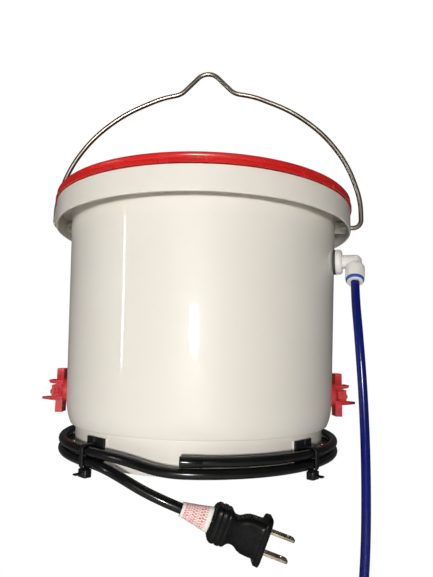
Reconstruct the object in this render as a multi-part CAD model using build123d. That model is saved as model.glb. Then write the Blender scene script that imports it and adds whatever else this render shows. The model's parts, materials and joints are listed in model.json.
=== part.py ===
from build123d import *
import math
import os

# Hanging pail waterer: a pail on a wire bail, a press-on lid, a float-valve inlet with a push-fit
# elbow and its supply tube, two side drinkers and a heat cable tied round the foot.
# Millimetres, +Z up. The origin is the hang point, the underside of the wire at the top of the bail.
# +X runs through the right ear and -Y is the front. Heights are measured up from the pail's foot.

# Pail
body_top_radius = 110.0
body_low_radius = body_top_radius - 4.6
body_low_height = 42.0
ridge_radius = body_low_radius - 3.9
foot_radius = ridge_radius - 4.0
foot_height = 23.0
pail_wall = 2.2
floor_height = 6.0
rim_height = 196.0
rim_bead = 2.0
rim_bead_height = 2.5
skirt_radius = body_top_radius + 12.0
skirt_wall = 1.8
web_height = rim_height - 6.4
skirt_bottom_height = web_height - 15.6
web_thickness = 1.9

# Bail and its ears
wire_diameter = 4.0
pivot_height = rim_height - 12.0
ear_radius = 5.0
ear_fit = 0.08
bail_half_width = skirt_radius + 11.5
bail_end_gap = 2.6
bail_bend_radius = 7.0
bail_rise = skirt_radius + 22.0
arch_foot = 8.0
arch_rise = skirt_radius - 4.0
arch_step = 16.0
arch_steps = 5
hump_half_width = 24.0
hump_slope = 46.0
hump_radius = 12.5
hump_base_radius = 16.0

# Lid
lid_top_height = rim_height + 3.5
lid_wall = 1.8
lid_top_radius = skirt_radius + 0.4
lid_top_corner = 1.2
lid_groove = 1.2
lid_groove_height = 0.8
lid_band_radius = skirt_radius + 1.1
lid_band_height = 2.3
lid_seat_gap = 0.4
lid_plug_gap = 0.6
lid_panel_depth = 5.5
lid_notches = 24
lid_notch_width = 2.6
lid_notch_depth = 1.2
gasket_height = 1.6
gasket_gap = 0.1
gasket_width = 4.0

# Inlet through the wall, at the right and a little to the front
inlet_angle = -14.0
inlet_height = rim_height - 47.0
stem_radius = 6.0
stem_bore = 2.6
stem_inside = 9.0
nut_radius = 9.8
nut_thickness = 5.0
nut_rounding = 2.6
washer_thickness = 1.6
wall_hole_gap = 0.3
elbow_radius = 5.2
elbow_reach = 16.0
elbow_turn = 27.0
elbow_bore = 2.6
collar_radius = 7.2
collar_start = 4.5
collar_length = 12.0
socket_depth = 11.0
collet_radius = 4.6
collet_flange_radius = 5.9
collet_flange = 1.2
collet_length = 6.0
clip_thickness = 2.2
clip_gap_width = 6.0
oring_wire = 1.9
elbow_rounding = 2.0

# Float valve behind the inlet
valve_radius = 8.0
valve_length = 20.0
valve_seat_depth = 5.0
plunger_radius = 4.0
plunger_fit = 0.05
plunger_travel = 2.2
plunger_length = 12.0
seal_thickness = 1.4
lever_drop = 11.0
lever_pin_radius = 1.5
lever_pin_fit = 0.06
lever_pin_setback = 2.0
lever_hub_radius = 3.6
lever_web_height = 5.0
lever_width = 5.0
lever_thickness = 3.0
lever_length = 46.0
lever_droop = 12.0
lever_gap = 0.35
lever_finger_rise = 0.5
lever_finger_slot = 4.0
lug_thickness = 2.0
lug_gap = 0.4
lug_length = 13.0
float_radius = 17.0
float_wall = 1.5
float_overlap = 3.0

# Side drinkers
drinker_angles = {"left": 186.0, "right": 6.0}
drinker_height = 44.5
drinker_plate_height = 34.6
drinker_plate_width = 12.0
drinker_plate_thickness = 5.5
drinker_stand_off = 5.4
drinker_box_height = 9.0
drinker_box_width = 15.0
drinker_box_reach = 3.2
drinker_box_raise = -0.4
drinker_recess = 5.4
drinker_recess_depth = 1.0
hood_reach = 5.8
hood_thickness = 3.4
lip_reach = 12.2
lip_thickness = 3.3
lip_tip_width = 6.0
shank_radius = 6.0
shank_bore = 3.2
shank_inside = 9.0
drinker_nut_radius = 9.5
drinker_nut_thickness = 5.0
drinker_pin_radius = 2.0
drinker_pin_reach = 2.8
drinker_pin_flange_radius = 4.4
drinker_pin_flange = 1.4
drinker_pin_drop = 1.6
drinker_pin_chamfer = 0.5
drinker_throat_radius = 3.5
drinker_chamber_radius = 5.2
drinker_chamber_back = 2.0
drinker_flange_setback = 1.5
drinker_seal_gap = 0.9
drinker_seal_thickness = 1.0

# Heat cable, its ties and its lead
cable_diameter = 6.3
cable_gap = 0.6
cable_low_height = 4.9
cable_step_angle = 18.0
cable_start_angle = -82.7
cable_drop_angles = (250.3, 264.0)
cable_drop_shares = (0.12, 0.96)
cable_end_angle = 592.5
cap_length = 14.0
cap_wall = 0.25
tie_angles = (-127.5, -39.0, 51.0, 141.0)
tie_mount_size = 19.0
tie_mount_base = 1.6
tie_mount_rise = 3.2
tie_saddle_width = 9.0
tie_saddle_height = 6.0
pad_thickness = 0.8
tie_mount_low = 0.6
strap_width = 3.6
strap_thickness = 1.1
strap_gap = 0.15
tie_head = (5.6, 8.4, 5.0)
tie_head_chamfer = 0.8
tie_stub_length = 5.0
strap_corner = 2.2
lead_diameter = cable_diameter
lead_exit_run = 14.0
lead_offsets = ((14.65, -6.94, -4.1), (29.05, -8.94, -11.0), (43.45, -9.74, -16.7), (57.85, -8.34, -22.2),
                (72.05, -5.94, -27.5))

# Plug at the end of the lead
plug_bulb_length = 11.0
plug_bulb_width = 22.0
plug_waist_length = 6.0
plug_waist_width = 15.5
plug_body_length = 14.0
plug_body_width = 22.0
plug_flange_length = 3.5
plug_flange_width = 29.0
plug_thickness = 15.0
plug_side_depth = 1.6
plug_entry_chamfer = 1.5
blade_spacing = 12.7
blade_width = 6.35
blade_thickness = 1.5
blade_length = 17.0
blade_hole = 3.2
blade_hole_inset = 4.2
blade_chamfer = 1.2
label_length = 18.5
label_end_gap = 0.6
label_narrow = (lead_diameter + 2.3, lead_diameter + 1.3)
label_wide = (16.0, 9.0)

# Supply tube, its stored coil and the coupling on its far end
tube_diameter = 6.35
tube_fit = 0.05
tube_exit_run = 14.0
tube_offsets = ((-0.4, -11.0, -30.0), (1.6, -12.5, -75.0), (2.4, -12.0, -125.0), (0.6, -11.2, -180.0),
                (-3.6, -10.6, -225.0))
coil_drop = 262.0
coil_radius = 35.0
coil_turns = 5
coil_layers = 3
coil_pitch = 6.5
tube_tail_length = 52.0
coil_tie_width = 5.0
coil_tie_thickness = 1.2
coupling_radius = 7.2
coupling_length = 30.0
coupling_waist = 5.6
coupling_grip = 9.0
coupling_slope = 2.0
coupling_socket = 14.0
coupling_stop_bore = 1.8
coupling_collet_flange = 1.8
coil_rounding = 2.6

# Heights and places that follow from the sizes above
wire_radius = wire_diameter / 2
pivot_z = wire_radius - bail_rise
foot_z = pivot_z - pivot_height
cable_radius = cable_diameter / 2
cable_high_height = cable_low_height + cable_diameter + cable_gap
cable_ring_radius = foot_radius + pad_thickness + tie_mount_rise + strap_thickness + 2 * strap_gap + cable_radius
web_top = web_height + web_thickness
lid_low_height = web_top + lid_seat_gap
tube_radius = tube_diameter / 2


def body_radius(height):
    share = (height - body_low_height) / (web_height - body_low_height)
    return body_low_radius + (body_top_radius - body_low_radius) * share


def radial(shape, angle, height):
    return Rot(0, 0, angle) * Pos(0, 0, foot_z + height) * shape


def ring_point(radius, angle, height):
    turn = math.radians(angle)
    return Vector(radius * math.cos(turn), radius * math.sin(turn), foot_z + height)


def rod(radius, start, end):
    # A round bar along X from start to end
    return Pos((start + end) / 2, 0, 0) * Rot(0, 90, 0) * Cylinder(radius, abs(end - start))


def revolved(points):
    return revolve(Plane.XZ * make_face(Polyline(*points, close=True)), Axis.Z)


def corner_turns(points):
    runs = [b - a for a, b in zip(points, points[1:])]
    return [a.get_angle(b) for a, b in zip(runs, runs[1:])]


def corner_radii(points, share=0.45):
    lengths = [(b - a).length for a, b in zip(points, points[1:])]
    shorter = [min(a, b) for a, b in zip(lengths, lengths[1:])]
    turns = corner_turns(points)
    return [share * run / math.tan(math.radians(turn) / 2) for run, turn in zip(shorter, turns)]


def swept_tube(points, radii, diameter):
    path = FilletPolyline(*points, radius=radii)
    section = Plane(origin=path @ 0, z_dir=path % 0) * Circle(diameter / 2)
    return sweep(section, path=path), path


def report_tube(name, solid, path, radii, diameter):
    expected = path.length * math.pi * diameter ** 2 / 4
    print(f"{name}: length {path.length:.1f} smallest radius {min(radii):.1f}"
          f" volume ratio {solid.volume / expected:.4f}")


def pail_profile_inner_turn():
    # Centre height of the arc between the wall and the ridge
    rise = body_low_height - foot_height
    run = body_low_radius - ridge_radius
    return (rise ** 2 + run ** 2) / (2 * run)


def make_pail():
    w = pail_wall
    top = body_radius(rim_height)
    bead = top + rim_bead
    bead_low = rim_height - rim_bead_height
    curve = pail_profile_inner_turn()
    low_outer = (body_low_radius, body_low_height)
    low_inner = (body_low_radius - w, body_low_height)
    ridge_outer = (ridge_radius, foot_height)
    ridge_inner = (ridge_radius - w, foot_height + w)
    skirt_inner = skirt_radius - skirt_wall
    outer = Polyline((0, floor_height), (foot_radius - w, floor_height), (foot_radius - w, 0),
                     (foot_radius, 0), (foot_radius, foot_height), ridge_outer)
    outer_curve = RadiusArc(ridge_outer, low_outer, -curve)
    upper = Polyline(low_outer, (body_radius(web_height), web_height), (skirt_inner, web_height),
                     (skirt_inner, skirt_bottom_height), (skirt_radius, skirt_bottom_height),
                     (skirt_radius, web_top), (body_radius(web_top), web_top),
                     (body_radius(bead_low), bead_low), (bead, bead_low), (bead, rim_height),
                     (top - w, rim_height), low_inner)
    inner_curve = RadiusArc(low_inner, ridge_inner, curve - w)
    inner = Polyline(ridge_inner, (foot_radius - w, foot_height + w), (foot_radius - w, floor_height + w),
                     (0, floor_height + w), (0, floor_height))
    section = make_face([outer, outer_curve, upper, inner_curve, inner])
    shell = Pos(0, 0, foot_z) * revolve(Plane.XZ * section, Axis.Z)
    for side in (0, 180):
        boss = rod(ear_radius, body_radius(pivot_height) - w / 2, skirt_inner + skirt_wall / 2)
        shell += radial(boss, side, pivot_height)
    bore_start = body_radius(pivot_height) + bail_end_gap - ear_fit
    for side in (0, 180):
        shell -= radial(rod(wire_radius + ear_fit, bore_start, skirt_radius + w), side, pivot_height)
    shell -= radial(rod(stem_radius + wall_hole_gap, body_radius(inlet_height) - 3 * w,
                        body_radius(inlet_height) + w), inlet_angle, inlet_height)
    for angle in drinker_angles.values():
        outside = body_radius(drinker_height) + w
        shell -= radial(rod(shank_radius + wall_hole_gap, outside - 4 * w, outside), angle, drinker_height)
    return shell


def bail_points():
    top = bail_rise + hump_radius * (1 / math.cos(math.radians(hump_slope)) - 1)
    base = top - hump_half_width * math.tan(math.radians(hump_slope))
    stretch = 1 / math.cos(math.radians(arch_step / 2))
    end = body_radius(pivot_height) + bail_end_gap
    half = [(end, 0.0), (bail_half_width, 0.0)]
    for step in range(arch_steps):
        turn = math.radians(arch_step * (step + 0.5))
        x = min(bail_half_width * math.cos(turn) * stretch, bail_half_width)
        half.append((x, arch_foot + arch_rise * math.sin(turn) * stretch))
    half.append((hump_half_width, base))
    mirrored = [(-x, z) for x, z in reversed(half)]
    outline = half + [(0.0, top)] + mirrored
    return [Vector(x, 0, pivot_z + z) for x, z in outline]


def make_bail():
    points = bail_points()
    radii = corner_radii(points, 0.47)
    radii[0] = radii[-1] = bail_bend_radius
    middle = len(radii) // 2
    radii[middle] = hump_radius
    radii[middle - 1] = radii[middle + 1] = hump_base_radius
    solid, path = swept_tube(points, radii, wire_diameter)
    report_tube("bail", solid, path, radii, wire_diameter)
    return solid


def make_lid():
    plug = body_radius(rim_height) - pail_wall - lid_plug_gap
    skin_low = lid_top_height - lid_wall
    panel_top = lid_top_height - lid_panel_depth
    neck = lid_top_radius - lid_groove
    wall_inner = neck - lid_wall
    band_top = lid_low_height + lid_band_height
    groove_top = band_top + lid_groove_height
    lid = revolved([(0, panel_top), (plug - lid_wall, panel_top), (plug - lid_wall, lid_top_height),
                    (lid_top_radius - lid_top_corner, lid_top_height),
                    (lid_top_radius, lid_top_height - lid_top_corner),
                    (lid_top_radius, groove_top + lid_groove), (neck, groove_top), (neck, band_top),
                    (lid_band_radius, band_top),
                    (lid_band_radius, lid_low_height), (wall_inner, lid_low_height),
                    (wall_inner, skin_low), (plug, skin_low), (plug, panel_top - lid_wall),
                    (0, panel_top - lid_wall)])
    notch = Pos(lid_band_radius, 0, lid_low_height)
    notch = notch * Box(2 * lid_notch_depth, lid_notch_width, 2 * lid_band_height)
    for turn in range(lid_notches):
        lid -= Rot(0, 0, (turn + 0.5) * 360 / lid_notches) * notch
    return Pos(0, 0, foot_z) * lid


def make_lid_gasket():
    skin_low = lid_top_height - lid_wall
    low = rim_height + gasket_gap
    inner = body_radius(rim_height) - pail_wall
    return Pos(0, 0, foot_z) * revolved([(inner, low), (inner + gasket_width, low),
                                         (inner + gasket_width, skin_low), (inner, skin_low)])


def wall_washer(pail, radius, hole, angle, height, inside):
    # A rubber ring that fills the space between a flat nut and the round wall
    face = body_radius(height) - (pail_wall if inside else 0)
    flat = face - washer_thickness if inside else face + washer_thickness
    buried = face + 1.0 if inside else face - 1.0
    ring = rod(radius, flat, buried) - rod(hole, flat - 1, buried + 1) - rod(hole, buried - 1, flat + 1)
    return radial(ring, angle, height) - pail


def hex_nut(radius, hole, start, end):
    flat = extrude(RegularPolygon(radius, 6), end - start)
    return Pos(start, 0, 0) * Rot(0, 90, 0) * flat - rod(hole, start - 1, end + 1)


def inlet_faces():
    outer = body_radius(inlet_height)
    inner = outer - pail_wall
    return outer, inner


def make_inlet_nut():
    outer, _ = inlet_faces()
    start = outer + washer_thickness
    nut = rod(nut_radius, start, start + nut_thickness)
    rim = nut.edges().filter_by(GeomType.CIRCLE).sort_by(Axis.X)[-1]
    nut = fillet(rim, nut_rounding) - rod(stem_radius, start - 1, start + nut_thickness + 1)
    return radial(nut, inlet_angle, inlet_height)


def valve_end():
    _, inner = inlet_faces()
    return inner - washer_thickness - nut_thickness


def make_inlet_stem():
    outer, _ = inlet_faces()
    end = outer + washer_thickness + nut_thickness
    start = valve_end()
    stem = rod(stem_radius, start, end) - rod(stem_bore, start - 1, end + 1)
    return radial(stem, inlet_angle, inlet_height)


def make_inlet_backnut():
    start = valve_end()
    return radial(hex_nut(nut_radius, stem_radius, start, start + nut_thickness), inlet_angle, inlet_height)


def elbow_frame():
    # Local frame at the elbow's corner, with its outlet along -Z before the turn towards the front
    outer, _ = inlet_faces()
    corner = outer + elbow_reach
    return Pos(corner, 0, 0) * Rot(elbow_turn * -1, 0, 0)


def make_elbow():
    outer, _ = inlet_faces()
    start = outer + washer_thickness + nut_thickness
    corner = outer + elbow_reach
    low = collar_start + collar_length
    frame = elbow_frame()
    collar = Pos(0, 0, -(collar_start + low) / 2) * Cylinder(collar_radius, collar_length)
    collar = fillet(collar.edges().filter_by(GeomType.CIRCLE).sort_by(Axis.Z)[-1], elbow_rounding)
    leg = Pos(0, 0, -collar_start / 2) * Cylinder(elbow_radius, collar_start)
    body = rod(elbow_radius, start, corner) + Pos(corner, 0, 0) * Sphere(elbow_radius)
    body += frame * (leg + collar)
    body -= rod(elbow_bore, start - 1, corner)
    body -= frame * (Pos(0, 0, -low / 2) * Cylinder(elbow_bore, low))
    socket = Pos(0, 0, -low + socket_depth / 2) * Cylinder(tube_radius + tube_fit, socket_depth)
    seat_depth = collet_length + oring_wire
    seat = Pos(0, 0, -low + seat_depth / 2) * Cylinder(collet_radius, seat_depth)
    body -= frame * (socket + seat)
    return radial(body, inlet_angle, inlet_height)


def outlet_ring(outer_radius, inner_radius, high, low):
    # A ring round the elbow's outlet, with its heights below the outlet face as negative numbers
    face = -(collar_start + collar_length)
    ring = Cylinder(outer_radius, high - low) - Cylinder(inner_radius, high - low + 2)
    return Pos(0, 0, face + (high + low) / 2) * ring


def make_elbow_collet():
    flange_low = -clip_thickness - collet_flange
    bore = tube_radius + tube_fit
    collet = outlet_ring(collet_radius, bore, collet_length, -clip_thickness)
    collet += outlet_ring(collet_flange_radius, bore, -clip_thickness, flange_low)
    return radial(elbow_frame() * collet, inlet_angle, inlet_height)


def make_collet_clip():
    clip = outlet_ring(collar_radius - 0.5, collet_radius, 0, -clip_thickness)
    opening = Pos(0, collar_radius, -(collar_start + collar_length) - clip_thickness / 2)
    clip -= opening * Box(clip_gap_width, 2 * collar_radius, clip_thickness + 1)
    return radial(elbow_frame() * clip, inlet_angle, inlet_height)


def make_elbow_oring():
    ring = outlet_ring(collet_radius, tube_radius, collet_length + oring_wire, collet_length)
    return radial(elbow_frame() * ring, inlet_angle, inlet_height)


def outlet_point(distance):
    # A point on the outlet's centre line, measured down from the elbow's corner
    local = elbow_frame() * Pos(0, 0, -distance)
    return (Rot(0, 0, inlet_angle) * Pos(0, 0, foot_z + inlet_height) * local).position


def valve_start():
    return valve_end() - valve_length


def plunger_face():
    # Where the valve's seat stops the plunger's rubber face
    return valve_end() - valve_seat_depth


def lever_pin_place():
    return valve_start() - lever_pin_setback, -lever_drop


def make_valve_body():
    start = valve_start()
    seat = plunger_face()
    pin_x, pin_z = lever_pin_place()
    body = rod(valve_radius, start, valve_end())
    lug_side = lever_width / 2 + lug_gap + lug_thickness / 2
    lug_height = lever_drop + lever_hub_radius + 0.4
    for side in (-1, 1):
        lug = Pos(start + 0.5, side * lug_side, -lug_height / 2) * Box(lug_length, lug_thickness, lug_height)
        body += lug
    body -= rod(plunger_radius + plunger_fit, start - 8, seat)
    slot = Box(2 * lever_finger_slot, lever_width + 2 * lug_gap, valve_radius + 2)
    body -= Pos(start, 0, -valve_radius / 2 - 1) * slot
    body -= rod(stem_bore / 2, seat - 1, valve_end() + 1)
    hole = Rot(90, 0, 0) * Cylinder(lever_pin_radius, 4 * lever_width)
    body -= Pos(pin_x, 0, pin_z) * hole
    return radial(body, inlet_angle, inlet_height)


def make_lever_pin():
    pin_x, pin_z = lever_pin_place()
    width = lever_width + 2 * lug_gap + 2 * lug_thickness
    pin = Pos(pin_x, 0, pin_z) * Rot(90, 0, 0) * Cylinder(lever_pin_radius, width)
    return radial(pin, inlet_angle, inlet_height)


def plunger_span():
    nose = plunger_face() - plunger_travel - seal_thickness
    return nose - plunger_length, nose


def make_plunger():
    tail, nose = plunger_span()
    return radial(rod(plunger_radius, tail, nose), inlet_angle, inlet_height)


def make_plunger_seal():
    _, nose = plunger_span()
    return radial(rod(plunger_radius - 0.3, nose, nose + seal_thickness), inlet_angle, inlet_height)


def make_float_arm():
    pin_x, pin_z = lever_pin_place()
    tail, _ = plunger_span()
    finger_height = lever_finger_rise - pin_z
    finger_x = tail - lever_gap - lever_thickness / 2 - pin_x
    hub = Rot(90, 0, 0) * Cylinder(lever_hub_radius, lever_width)
    finger = Pos(finger_x, 0, finger_height / 2) * Box(lever_thickness, lever_width, finger_height)
    web = Pos(finger_x / 2, 0, 0) * Box(abs(finger_x) + lever_thickness, lever_width, lever_web_height)
    bar = Rot(0, -lever_droop, 0) * Pos(-lever_length / 2, 0, 0) * Box(lever_length, lever_width, lever_thickness)
    arm = hub + finger + web + bar
    arm -= Rot(90, 0, 0) * Cylinder(lever_pin_radius + lever_pin_fit, 2 * lever_width)
    arm = Pos(pin_x, 0, pin_z) * arm
    return radial(arm, inlet_angle, inlet_height) - make_float_outline(0)


def make_float_outline(inset):
    pin_x, pin_z = lever_pin_place()
    droop = math.radians(lever_droop)
    reach = lever_length + float_radius - float_overlap
    x = pin_x - reach * math.cos(droop)
    z = pin_z - reach * math.sin(droop)
    return radial(Pos(x, 0, z) * Sphere(float_radius - inset), inlet_angle, inlet_height)


def make_float_ball():
    return make_float_outline(0) - make_float_outline(float_wall)


def drinker_faces():
    wall = body_radius(drinker_height)
    plate_inner = wall + drinker_stand_off
    plate_outer = plate_inner + drinker_plate_thickness
    return wall, plate_inner, plate_outer


def make_drinker_body():
    wall, plate_inner, plate_outer = drinker_faces()
    box_high = drinker_box_raise + drinker_box_height / 2
    box_low = drinker_box_raise - drinker_box_height / 2
    box_end = plate_outer + drinker_box_reach
    plate = Box(drinker_plate_thickness, drinker_plate_width, drinker_plate_height)
    body = Pos((plate_inner + plate_outer) / 2, 0, 0) * plate
    box_length = box_end - plate_inner
    box = Box(box_length, drinker_box_width, drinker_box_height)
    body += Pos((plate_inner + box_end) / 2, 0, drinker_box_raise) * box
    hood_end = plate_outer + hood_reach
    hood = make_face(Polyline((plate_inner, box_high), (hood_end - 1, box_high + 1.6),
                              (hood_end, box_high + hood_thickness + 0.6),
                              (plate_outer, box_high + hood_thickness),
                              (plate_inner, box_high + hood_thickness), close=True))
    body += extrude(Plane.XZ * hood, drinker_box_width / 2, both=True)
    lip_end = plate_outer + lip_reach
    half = drinker_box_width / 2
    tip = lip_tip_width / 2
    lip = make_face(Polyline((plate_inner, -half), (box_end, -half), (lip_end - 2, -tip), (lip_end, -tip / 2),
                             (lip_end, tip / 2), (lip_end - 2, tip), (box_end, half), (plate_inner, half),
                             close=True))
    wedge = make_face(Polyline((plate_inner, box_low), (lip_end, box_low - 0.8),
                               (lip_end, box_low - 0.8 - lip_thickness / 2),
                               (plate_inner, box_low - lip_thickness), close=True))
    lip_solid = Pos(0, 0, box_low - 2 * lip_thickness) * extrude(lip, 4 * lip_thickness)
    body += lip_solid & extrude(Plane.XZ * wedge, half + 1, both=True)
    start = wall + washer_thickness
    body += rod(drinker_nut_radius, start, plate_inner)
    body += rod(shank_radius, wall - pail_wall - shank_inside, start)
    recess = Box(drinker_recess, drinker_recess_depth * 2, drinker_recess)
    recess_x = box_end - drinker_recess / 2 - 1.2
    for side in (-1, 1):
        body -= Pos(recess_x, side * half, drinker_box_raise) * recess
    pin_line = Pos(0, 0, -drinker_pin_drop)
    flange, seal = drinker_chamber()
    body -= rod(shank_bore, wall - pail_wall - shank_inside - 1, flange)
    body -= pin_line * rod(drinker_chamber_radius, flange - drinker_chamber_back, seal + drinker_seal_thickness)
    body -= pin_line * rod(drinker_throat_radius, flange, box_end + 1)
    return body


def drinker_chamber():
    # Inner faces of the pin's flange and of the rubber seal in front of it
    _, plate_inner, _ = drinker_faces()
    flange = plate_inner - drinker_flange_setback
    return flange, flange + drinker_pin_flange + drinker_seal_gap


def make_drinker_seal():
    _, seal = drinker_chamber()
    end = seal + drinker_seal_thickness
    ring = rod(drinker_chamber_radius, seal, end) - rod(drinker_throat_radius, seal - 1, end + 1)
    return Pos(0, 0, -drinker_pin_drop) * ring


def make_drinker_pin():
    flange, _ = drinker_chamber()
    _, _, plate_outer = drinker_faces()
    end = plate_outer + drinker_box_reach + drinker_pin_reach
    pin = rod(drinker_pin_flange_radius, flange, flange + drinker_pin_flange) + rod(drinker_pin_radius, flange, end)
    pin = chamfer(pin.edges().filter_by(GeomType.CIRCLE).sort_by(Axis.X)[-1], drinker_pin_chamfer)
    return Pos(0, 0, -drinker_pin_drop) * pin


def make_drinker_nut():
    wall, _, _ = drinker_faces()
    end = wall - pail_wall - washer_thickness
    return hex_nut(drinker_nut_radius, shank_radius, end - drinker_nut_thickness, end)


def cable_points():
    r = cable_ring_radius
    corner = r / math.cos(math.radians(cable_step_angle / 2))
    half = cable_step_angle / 2
    step_down = cable_high_height - cable_low_height
    points = [ring_point(r, cable_start_angle, cable_high_height)]
    angle = cable_start_angle + half
    while angle < cable_drop_angles[0] - half:
        points.append(ring_point(corner, angle, cable_high_height))
        angle += cable_step_angle
    for angle, share in zip(cable_drop_angles, cable_drop_shares):
        points.append(ring_point(corner, angle, cable_high_height - share * step_down))
    steps = int((cable_end_angle - half - cable_drop_angles[-1] - half) / cable_step_angle)
    for step in range(steps, -1, -1):
        points.append(ring_point(corner, cable_end_angle - half - step * cable_step_angle, cable_low_height))
    points.append(ring_point(r, cable_end_angle, cable_low_height))
    return points


def make_heat_cable():
    points = cable_points()
    radii = corner_radii(points)
    solid, path = swept_tube(points, radii, cable_diameter)
    report_tube("heat cable", solid, path, radii, cable_diameter)
    return solid


def make_cable_cap():
    points = cable_points()
    back = (points[0] - points[1]).normalized()
    plane = Plane(origin=points[0], z_dir=back)
    cap = extrude(plane * Circle(cable_radius + cap_wall), cap_length)
    return chamfer(cap.edges().filter_by(GeomType.CIRCLE)[-1], 0.4)


def tie_frame(angle):
    return Rot(0, 0, angle) * Pos(foot_radius, 0, foot_z)


def mount_centre_height():
    return tie_mount_low + tie_mount_size / 2


def make_mount_pads(pail):
    pads = []
    for angle in tie_angles:
        slab = Pos(pad_thickness / 2 - 0.5, 0, mount_centre_height())
        slab = slab * Box(pad_thickness + 1.0, tie_mount_size, tie_mount_size)
        pads.append(tie_frame(angle) * slab - Pos(0, 0, foot_z) * Cylinder(
            foot_radius, foot_height, align=(Align.CENTER, Align.CENTER, Align.MIN)))
    return pads


def make_tie_mounts():
    mounts = []
    middle = mount_centre_height()
    slot_depth = strap_thickness + 2 * strap_gap
    for angle in tie_angles:
        base = Pos(pad_thickness + tie_mount_base / 2, 0, middle) * Box(tie_mount_base, tie_mount_size, tie_mount_size)
        saddle = Pos(pad_thickness + tie_mount_rise / 2, 0, middle)
        saddle = saddle * Box(tie_mount_rise, tie_saddle_width, tie_saddle_height)
        slot = Pos(pad_thickness + slot_depth / 2 + 0.6, 0, middle)
        slot = slot * Box(slot_depth, strap_width + 2 * strap_gap, tie_mount_size + 2)
        mounts.append(tie_frame(angle) * (base + saddle - slot))
    return mounts


def strap_limits():
    # Inner faces of the strap's loop: radial from the foot, and heights
    inner = pad_thickness + 0.6 + strap_gap + strap_thickness
    outer = cable_ring_radius - foot_radius + cable_radius + strap_gap
    low = cable_low_height - cable_radius - strap_gap
    high = cable_high_height + cable_radius + strap_gap
    return inner, outer, low, high


def make_tie_straps():
    inner, outer, low, high = strap_limits()
    straps = []
    for angle in tie_angles:
        hole = Pos((inner + outer) / 2, (low + high) / 2) * RectangleRounded(outer - inner, high - low, strap_corner)
        band = Pos((inner + outer) / 2, (low + high) / 2) * RectangleRounded(
            outer - inner + 2 * strap_thickness, high - low + 2 * strap_thickness, strap_corner + strap_thickness)
        loop = extrude(Plane.XZ * (band - hole), strap_width / 2, both=True)
        straps.append(tie_frame(angle) * loop)
    return straps


def make_tie_heads():
    _, outer, low, _ = strap_limits()
    depth, width, height = tie_head
    heads = []
    for angle in tie_angles:
        head = Pos(outer - depth / 2, 0, low - strap_thickness - height / 2) * Box(depth, width, height)
        head = chamfer(head.edges().filter_by(Axis.Z), tie_head_chamfer)
        stub = Pos(outer + tie_stub_length / 2, 0, low - strap_thickness - height / 2)
        stub = stub * Box(tie_stub_length, strap_width, strap_thickness)
        heads.append(tie_frame(angle) * (head + stub))
    return heads


def lead_route():
    cable = cable_points()
    start = cable[-1]
    along = (cable[-1] - cable[-2]).normalized()
    leave = start + along * lead_exit_run
    points = [start, leave]
    points += [leave + Vector(*offset) for offset in lead_offsets]
    return points


def make_lead():
    points = lead_route()
    radii = corner_radii(points)
    solid, path = swept_tube(points, radii, lead_diameter)
    report_tube("lead", solid, path, radii, lead_diameter)
    return solid


def plug_plane():
    # Origin where the lead enters, local Z along the blades, local X across the flange
    points = lead_route()
    along = (points[-1] - points[-2]).normalized()
    side = Vector(0, 1, 0)
    across = along.cross(side).normalized()
    return Plane(origin=points[-1], x_dir=across, z_dir=along)


def make_plug():
    bulb = plug_bulb_width / 2
    waist = plug_waist_width / 2
    body = plug_body_width / 2
    flange = plug_flange_width / 2
    z1 = plug_bulb_length
    z2 = z1 + plug_waist_length
    z3 = z2 + plug_body_length
    z4 = z3 + plug_flange_length
    half = [(bulb - plug_entry_chamfer, 0), (bulb, 2.5), (bulb, z1 - 2), (bulb - 1, z1), (waist, z1 + 2.5), (waist, z2 - 1),
            (body, z2 + 5), (body, z3), (flange, z3), (flange, z4)]
    mirrored = [(-x, z) for x, z in reversed(half)]
    outline = make_face(Polyline(*(half + mirrored), close=True))
    solid = extrude(Plane.XZ * outline, plug_thickness / 2, both=True)
    waist_cut = Box(4 * flange, plug_thickness, z3 - z1 + 2)
    for side in (-1, 1):
        offset = side * (plug_thickness - plug_side_depth)
        solid -= Pos(0, offset, (z1 + z3) / 2 - 3) * waist_cut
    return plug_plane().location * solid


def make_blade(side):
    start = plug_bulb_length + plug_waist_length + plug_body_length + plug_flange_length
    blade = Box(blade_thickness, blade_width, blade_length)
    hole = Pos(0, 0, blade_length / 2 - blade_hole_inset) * Rot(0, 90, 0) * Cylinder(blade_hole / 2, 2 * blade_thickness)
    blade = chamfer(blade.edges().filter_by(Axis.X).sort_by(Axis.Z)[-2:], blade_chamfer) - hole
    place = Pos(side * blade_spacing / 2, 0, start + blade_length / 2)
    return plug_plane().location * place * blade


def make_label():
    # A loose paper sleeve round the lead, wider towards the plug
    points = lead_route()
    along = (points[-1] - points[-2]).normalized()
    across = plug_plane().x_dir
    near = points[-1] - along * label_end_gap
    far = near - along * label_length
    wide = Plane(origin=near, x_dir=across, z_dir=along) * Ellipse(label_wide[0] / 2, label_wide[1] / 2)
    narrow = Plane(origin=far, x_dir=across, z_dir=along) * Ellipse(label_narrow[0] / 2, label_narrow[1] / 2)
    return loft([narrow, wide])


def tube_route():
    low = collar_start + collar_length
    start = outlet_point(low - socket_depth)
    leave = outlet_point(low + tube_exit_run)
    points = [start, leave]
    for x, y, z in tube_offsets:
        points.append(Vector(leave.X + x, leave.Y + y, leave.Z + z))
    points.append(Vector(points[-1].X - 3.2, points[-1].Y + 0.3, leave.Z - coil_drop))
    return points


def coil_centre():
    entry = tube_route()[-1]
    return Vector(entry.X - coil_radius, entry.Y, entry.Z)


def make_coil():
    rows = math.ceil(coil_turns / coil_layers)
    half_radial = rows * coil_pitch / 2
    half_width = coil_layers * coil_pitch / 2
    ring = Cylinder(coil_radius + half_radial, 2 * half_width) - Cylinder(coil_radius - half_radial, 3 * half_width)
    ring = fillet(ring.edges().filter_by(GeomType.CIRCLE), coil_rounding)
    return Pos(*coil_centre()) * Rot(90, 0, 0) * ring


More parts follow.
